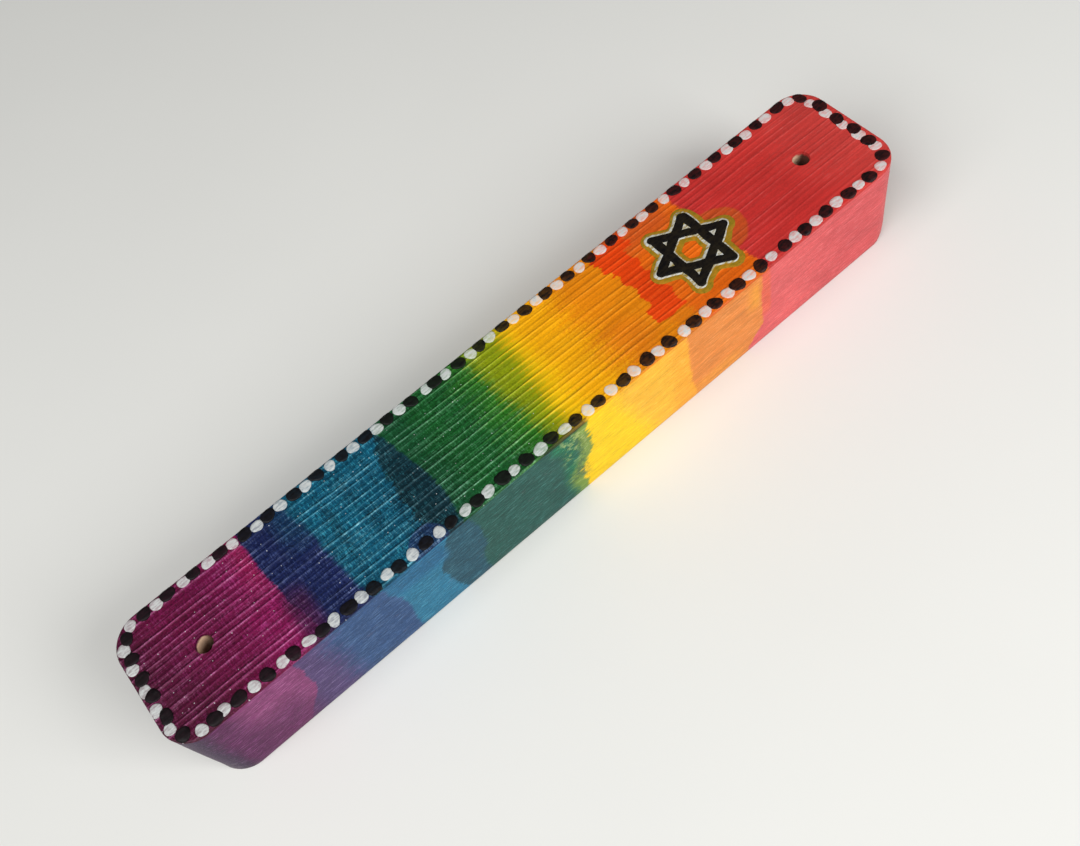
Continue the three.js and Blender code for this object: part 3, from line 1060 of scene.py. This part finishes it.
class DotSizes(bpy.types.PropertyGroup):
    """Sizes of the border's dots."""

    black_width: size("Black Width", 2.3, "Width of a black dot")
    black_length: size("Black Length", 2.6, "Length of a black dot along the border")
    white_width: size("White Width", 2.0, "Width of a white dot")
    white_length: size("White Length", 2.2, "Length of a white dot along the border")
    black_thickness: size("Black Thickness", 0.13, "Height of a black dot")
    white_thickness: size("White Thickness", 0.09, "Height of a white dot")
    scatter: size("Scatter", 0.22, "How far a dot is out of its place")
    seed: IntProperty(name="Seed", description="Changes the dots' unevenness", default=4)


class EmblemSizes(bpy.types.PropertyGroup):
    """Sizes of the painted star."""

    centre_x: size("Centre X", 0.3, "Distance of the star from the middle line")
    centre_y: size("Centre Y", 37.4, "Distance of the star above the middle of the case")
    radius: size("Radius", 7.0, "Distance of the points of the star from its centre")
    black_line: size("Black Line", 1.75, "Width of the black strokes")
    white_line: size("White Line", 0.36, "Width of the white line round the black")
    gold_line: size("Gold Line", 0.7, "Width of the outline round the white")
    layer: size("Layer", 0.07, "Thickness of each layer of paint")
    seed: IntProperty(name="Seed", description="Changes the strokes' unevenness", default=2)


class FacePaints(bpy.types.PropertyGroup):
    """Colours of the painted face, from the top end down."""

    rose: paint("Rose", "#be3a35", "Top of the red band")
    red: paint("Red", "#bc2f2b", "Middle of the red band")
    crimson: paint("Crimson", "#b82c29", "Bottom of the red band")
    rust: paint("Rust", "#b9471d", "Disc between the red and the orange")
    tangerine: paint("Tangerine", "#d65e09", "Orange band")
    vermilion: paint("Vermilion", "#d73d05", "Hot patch under the star")
    apricot: paint("Apricot", "#d5720a", "Foot of the orange band")
    amber: paint("Amber", "#d87c05", "Amber band")
    gold: paint("Gold", "#e69f05", "Golden band")
    yellow: paint("Yellow", "#e6b305", "Yellow band")
    olive: paint("Olive", "#7e8b05", "Where the yellow turns green")
    leaf: paint("Leaf", "#2b6c1b", "Light green")
    green: paint("Green", "#145424", "Deep green")
    pine: paint("Pine", "#0f4827", "Darkest green")
    night: paint("Night", "#052c36", "Dark band between green and teal")
    teal: paint("Teal", "#054d65", "Teal band")
    navy: paint("Navy", "#19325a", "Dark disc in the teal")
    indigo: paint("Indigo", "#111d4a", "Indigo band")
    plum: paint("Plum", "#390e38", "Where the indigo turns purple")
    magenta: paint("Magenta", "#780e4a", "Top of the purple band")
    purple: paint("Purple", "#610538", "Middle of the purple band")
    deep_purple: paint("Deep Purple", "#4d052c", "Bottom of the purple band")


class WallPaints(bpy.types.PropertyGroup):
    """Colours of the walls, from the top end down, paler than the face's partly because painted sheen is in
    them.
    """

    coral: paint("Coral", "#cf5053", "Coral band")
    warm_coral: paint("Warm Coral", "#dd5e5f", "Foot of the coral band")
    salmon: paint("Salmon", "#e26048", "Hot line over the peach")
    peach: paint("Peach", "#e08538", "Peach band")
    light_amber: paint("Light Amber", "#f6a72a", "Light amber band")
    straw: paint("Straw", "#f8b62e", "Amber yellow")
    lemon: paint("Lemon", "#f7ca05", "Yellow band")
    sage: paint("Sage", "#74903e", "Ragged edge of the green")
    sprout: paint("Sprout", "#aab878", "Light dabs on the green")
    fern: paint("Fern", "#0b6d49", "Top of the green band")
    spruce: paint("Spruce", "#1a4f47", "Grey green band")
    slate: paint("Slate", "#1b4a5b", "Slate band")
    sky: paint("Sky", "#236f8f", "Light blue bowl")
    dull_sky: paint("Dull Sky", "#1d5e84", "Blue near the painted face")
    periwinkle: paint("Periwinkle", "#2d4c78", "Blue band")
    heather: paint("Heather", "#4e3c69", "Dusky band")
    orchid: paint("Orchid", "#7f3768", "Pink purple band")
    mauve: paint("Mauve", "#581d4d", "Foot of the purple band")
    dust: paint("Dust", "#341a3c", "Worn lower end")


class Paints(bpy.types.PropertyGroup):
    """All the colours."""

    face: PointerProperty(type=FacePaints)
    wall: PointerProperty(type=WallPaints)
    black: paint("Black", "#0c090b", "Black dots and strokes")
    white: paint("White", "#d2d6d4", "White dots and lines")
    olive_gold: paint("Olive Gold", "#8a7519", "Outline of the star")
    pale_wood: paint("Pale Wood", "#e0bd88", "Early wood of the block")
    dark_wood: paint("Dark Wood", "#b98a53", "Late wood of the block")
    # Painted light and shade inside the screw holes: the pale colour is the lit side's wood, the dark colour
    # the shaded side.
    hole_painted_light: paint("Hole Pale", "#dfbb9c", "Sunlit side of a screw hole")
    hole_painted_shade: paint("Hole Dark", "#553329", "Stained side of a screw hole")
    cover_pale: paint("Cover Pale", "#e6c795", "Early wood of the cover")
    cover_dark: paint("Cover Dark", "#c29863", "Late wood of the cover")
    parchment_pale: paint("Parchment Pale", "#efe4c6", "Clean parchment")
    parchment_dark: paint("Parchment Dark", "#d8c496", "Aged parchment")
    film: paint("Film", "#e6eeee", "Clear sleeve")


class StageSettings(bpy.types.PropertyGroup):
    """Camera, lights and floor."""

    camera_place: place_property("Camera Place", (0.0899, -0.0316, 0.1707), "Where the camera stands")
    camera_aim: place_property("Camera Aim", (0.00753, -0.00195, 0.02), "The point that the camera looks at")
    camera_roll: angle_property("Camera Roll", 22.18, "Turn of the camera about its own line of sight")
    lens: FloatProperty(name="Lens", description="Focal length in millimetres", default=36.73, min=1)
    key_place: place_property("Key Place", (0.42, 0.20, 0.34), "Where the key light stands")
    key_size: size("Key Size", 300, "Width of the key light")
    key_power: power_property("Key Power", 2.4, "Power of the key light")
    fill_place: place_property("Fill Place", (0.16, -0.48, 0.62), "Where the fill light stands")
    fill_size: size("Fill Size", 600, "Width of the fill light")
    fill_power: power_property("Fill Power", 5.2, "Power of the fill light")
    sky_strength: FloatProperty(
        name="Sky Strength", description="Strength of the pale surroundings", default=0.15, min=0,
    )
    sky_colour: paint("Sky Colour", "#f4f4f2", "Colour of the surroundings")
    floor_size: size("Floor Size", 3000, "Width of the floor")
    floor_colour: paint("Floor Colour", "#dededa", "Colour of the floor")


class MezuzahCaseSettings(bpy.types.PropertyGroup):
    """Everything that can be changed."""

    case: PointerProperty(type=CaseSizes)
    roll: PointerProperty(type=RollSizes)
    dots: PointerProperty(type=DotSizes)
    emblem: PointerProperty(type=EmblemSizes)
    paints: PointerProperty(type=Paints)
    stage: PointerProperty(type=StageSettings)


# ---- operators ----


class MEZUZAH_OT_case_body(bpy.types.Operator):
    """Makes the painted block, with its groove, scroll pocket and screw holes"""

    bl_idname = "mezuzah.case_body"
    bl_label = "Painted Block"

    def execute(self, context):
        settings = context.scene.mezuzah_case
        sizes = settings.case
        piece = block_skin(sizes).make("painted_block")
        slope = math.tan(sizes.dovetail_angle)
        gap, mouth = sizes.gap / MM, sizes.groove_mouth / MM / 2
        depth, end = COVER_HIGH[2] + gap, COVER_LOW[1] - gap
        groove = dovetail(mouth, slope, -OVERCUT, depth, end, CASE_LENGTH / 2 + OVERCUT)
        half_width, half_length = sizes.pocket_width / MM / 2, sizes.pocket_length / MM / 2
        pocket = rounded_plan(half_width, half_length, sizes.pocket_radius / MM)
        cutters = [groove, upright(pocket, OVERCUT, sizes.pocket_floor / MM)]
        cutters += [hole_cutter(sizes, side * sizes.hole_offset / MM) for side in (-1, 1)]
        carve(piece, [(rings, "DIFFERENCE") for rings in cutters])
        smooth(piece.data, 35, flat_area=4)
        fit_piece(piece, painted_block_finish(settings), "case", "painted_wood", "case_body")
        return {"FINISHED"}


class MEZUZAH_OT_back_cover(bpy.types.Operator):
    """Makes the sliding dovetail cover of the back"""

    bl_idname = "mezuzah.back_cover"
    bl_label = "Sliding Cover"

    def execute(self, context):
        settings = context.scene.mezuzah_case
        sizes = settings.case
        slope = math.tan(sizes.dovetail_angle)
        side_gap = sizes.gap / MM / math.cos(sizes.dovetail_angle)
        mouth = sizes.groove_mouth / MM / 2 - side_gap
        skin = Skin()
        skin.add_loft(dovetail(mouth, slope, 0, COVER_HIGH[2], COVER_LOW[1], CASE_LENGTH / 2))
        piece = skin.make("sliding_cover")
        outline = rounded_plan(CASE_WIDTH / 2, CASE_LENGTH / 2, sizes.corner_radius / MM)
        carve(piece, [
            (upright(outline, -OVERCUT, COVER_HIGH[2] + OVERCUT), "INTERSECT"),
            (hole_cutter(sizes, sizes.hole_offset / MM), "DIFFERENCE"),
            (finger_notch(sizes), "DIFFERENCE"),
        ])
        bevel = piece.modifiers.new("softened_edges", "BEVEL")
        bevel.width = sizes.cover_edge
        bevel.segments = 2
        bevel.limit_method = "ANGLE"
        bevel.angle_limit = math.radians(40)
        bevel.harden_normals = True
        smooth(piece.data, 40, flat_area=4)
        fit_piece(piece, sanded_wood_finish(settings), "cover", "bare_wood", "back_cover")
        return {"FINISHED"}


class MEZUZAH_OT_scroll(bpy.types.Operator):
    """Makes the rolled blank parchment"""

    bl_idname = "mezuzah.scroll"
    bl_label = "Parchment Roll"

    def execute(self, context):
        settings = context.scene.mezuzah_case
        piece = scroll_skin(settings.roll).make("parchment_roll")
        fit_piece(piece, parchment_finish(settings), "case", "parchment", "scroll")
        return {"FINISHED"}


class MEZUZAH_OT_scroll_sleeve(bpy.types.Operator):
    """Makes the clear sleeve round the parchment"""

    bl_idname = "mezuzah.scroll_sleeve"
    bl_label = "Clear Sleeve"

    def execute(self, context):
        settings = context.scene.mezuzah_case
        piece = sleeve_skin(settings.roll).make("clear_sleeve")
        fit_piece(piece, clear_film_finish(settings), "case", "clear_film", "scroll_sleeve")
        return {"FINISHED"}


class MEZUZAH_OT_border_dots(bpy.types.Operator):
    """Dabs the black and white dots round the painted face"""

    bl_idname = "mezuzah.border_dots"
    bl_label = "Border Dots"

    def execute(self, context):
        settings = context.scene.mezuzah_case
        dots, paints = settings.dots, settings.paints
        rows = (("black", 0, BLACK_INSETS, 0.93, 0.40), ("white", 0.5, WHITE_INSETS, 0.35, 0.45))
        dice = np.random.default_rng(dots.seed)
        for name, first, insets, cover, gloss in rows:
            measures = (f"{name}_width", f"{name}_length", f"{name}_thickness")
            lengths = [getattr(dots, measure) / MM for measure in measures]
            skin = border_skin(settings.case, dots, first, insets, *lengths, dice)
            finish = dot_paint_finish(f"{name}_dots", settings, getattr(paints, name), cover, gloss)
            fit_piece(skin.make(f"border_dots_{name}", crease=60), finish, "case", "painted_wood")
        return {"FINISHED"}


class MEZUZAH_OT_star_emblem(bpy.types.Operator):
    """Paints the six-pointed star in three layers"""

    bl_idname = "mezuzah.star_emblem"
    bl_label = "Painted Star"

    def execute(self, context):
        settings = context.scene.mezuzah_case
        emblem, paints = settings.emblem, settings.paints
        black = emblem.black_line / MM / 2
        white = black + emblem.white_line / MM
        gold = white + emblem.gold_line / MM
        layer = emblem.layer / MM
        rows = (
            ("star_gold", gold, 1, (0.1, 0.0), paints.olive_gold, 0.75, None),
            ("star_white", white, 2, (-0.12, -0.1), paints.white, 0.0, paints.olive_gold),
            ("star_black", black, 3, (0.0, 0.0), paints.black, 0.97, paints.olive_gold),
        )
        for name, half_width, layers, shift, colour, cover, under in rows:
            piece = star_layer(name, settings, half_width, layers * layer, np.array(shift))
            finish = dot_paint_finish(name, settings, colour, cover, 0.4, under)
            fit_piece(piece, finish, "case", "painted_wood")
        return {"FINISHED"}


class MEZUZAH_OT_stage(bpy.types.Operator):
    """Sets up the pale floor, the soft lights and the camera"""

    bl_idname = "mezuzah.stage"
    bl_label = "Floor, Lights and Camera"

    def execute(self, context):
        settings = context.scene.mezuzah_case
        stage = settings.stage
        half = stage.floor_size / MM / 2
        corners = np.linspace(-half, half, 5)
        x, y = np.meshgrid(corners, corners)
        skin = Skin()
        skin.add_grid(skin.add_points(np.stack([x, y, 0 * x], -1)))
        floor = skin.make("floor")
        floor.data.materials.append(floor_finish(settings))
        area_light("key", stage.key_place, stage.key_size, stage.key_power)
        area_light("fill", stage.fill_place, stage.fill_size, stage.fill_power)

        world = bpy.data.worlds.new("studio")
        world.use_nodes = True
        background = world.node_tree.nodes["Background"]
        background.inputs["Color"].default_value = stage.sky_colour
        background.inputs["Strength"].default_value = stage.sky_strength
        context.scene.world = world
        context.scene.view_settings.view_transform = "Standard"

        camera = bpy.data.objects.new("camera", bpy.data.cameras.new("camera"))
        camera.data.lens = stage.lens
        camera.data.sensor_width = 36
        camera.data.clip_start = 0.01
        camera.matrix_world = rolled_view(stage.camera_place, stage.camera_aim, stage.camera_roll)
        context.scene.collection.objects.link(camera)
        context.scene.camera = camera
        return {"FINISHED"}


def rolled_view(place, aim, roll):
    """The matrix of a camera at place that looks at aim, turned by roll about its line of sight."""
    forward = (Vector(aim) - Vector(place)).normalized()
    side = forward.cross(Vector((0, 0, 1))).normalized()
    up = side.cross(forward) * math.cos(roll) + side * math.sin(roll)
    right = forward.cross(up)
    matrix = Matrix((right, up, -forward)).transposed().to_4x4()
    matrix.translation = Vector(place)
    return matrix


def area_light(name, place, width, power):
    """A square soft light that faces the middle of the case."""
    data = bpy.data.lights.new(name, "AREA")
    data.shape = "SQUARE"
    data.size = width
    data.energy = power
    light = bpy.data.objects.new(name, data)
    light.matrix_world = rolled_view(place, (0, 0, 0.01), 0)
    bpy.context.scene.collection.objects.link(light)


class MEZUZAH_PT_panel(bpy.types.Panel):
    """Lists the settings and the steps that build the case"""

    bl_idname = "MEZUZAH_PT_panel"
    bl_label = "Mezuzah Case"
    bl_space_type = "VIEW_3D"
    bl_region_type = "UI"
    bl_category = "Mezuzah Case"

    def draw(self, context):
        settings = context.scene.mezuzah_case
        paints = settings.paints
        for group in (settings.case, settings.roll, settings.dots, settings.emblem, paints.face,
                      paints.wall, paints, settings.stage):
            box = self.layout.box()
            for name in group.__annotations__:
                if name not in ("face", "wall"):
                    box.prop(group, name)
        for step in STEPS:
            self.layout.operator(step.bl_idname)


STEPS = (
    MEZUZAH_OT_stage,
    MEZUZAH_OT_case_body,
    MEZUZAH_OT_back_cover,
    MEZUZAH_OT_scroll,
    MEZUZAH_OT_scroll_sleeve,
    MEZUZAH_OT_border_dots,
    MEZUZAH_OT_star_emblem,
)
GROUPS = (
    CaseSizes,
    RollSizes,
    DotSizes,
    EmblemSizes,
    FacePaints,
    WallPaints,
    Paints,
    StageSettings,
    MezuzahCaseSettings,
)


def register():
    for kind in (*GROUPS, *STEPS, MEZUZAH_PT_panel):
        bpy.utils.register_class(kind)
    bpy.types.Scene.mezuzah_case = PointerProperty(type=MezuzahCaseSettings)


def unregister():
    del bpy.types.Scene.mezuzah_case
    for kind in reversed((*GROUPS, *STEPS, MEZUZAH_PT_panel)):
        bpy.utils.unregister_class(kind)


def main():
    register()
    bpy.ops.mezuzah.stage()
    bpy.ops.mezuzah.case_body()
    bpy.ops.mezuzah.back_cover()
    bpy.ops.mezuzah.scroll()
    bpy.ops.mezuzah.scroll_sleeve()
    bpy.ops.mezuzah.border_dots()
    bpy.ops.mezuzah.star_emblem()


if __name__ == "__main__":
    main()
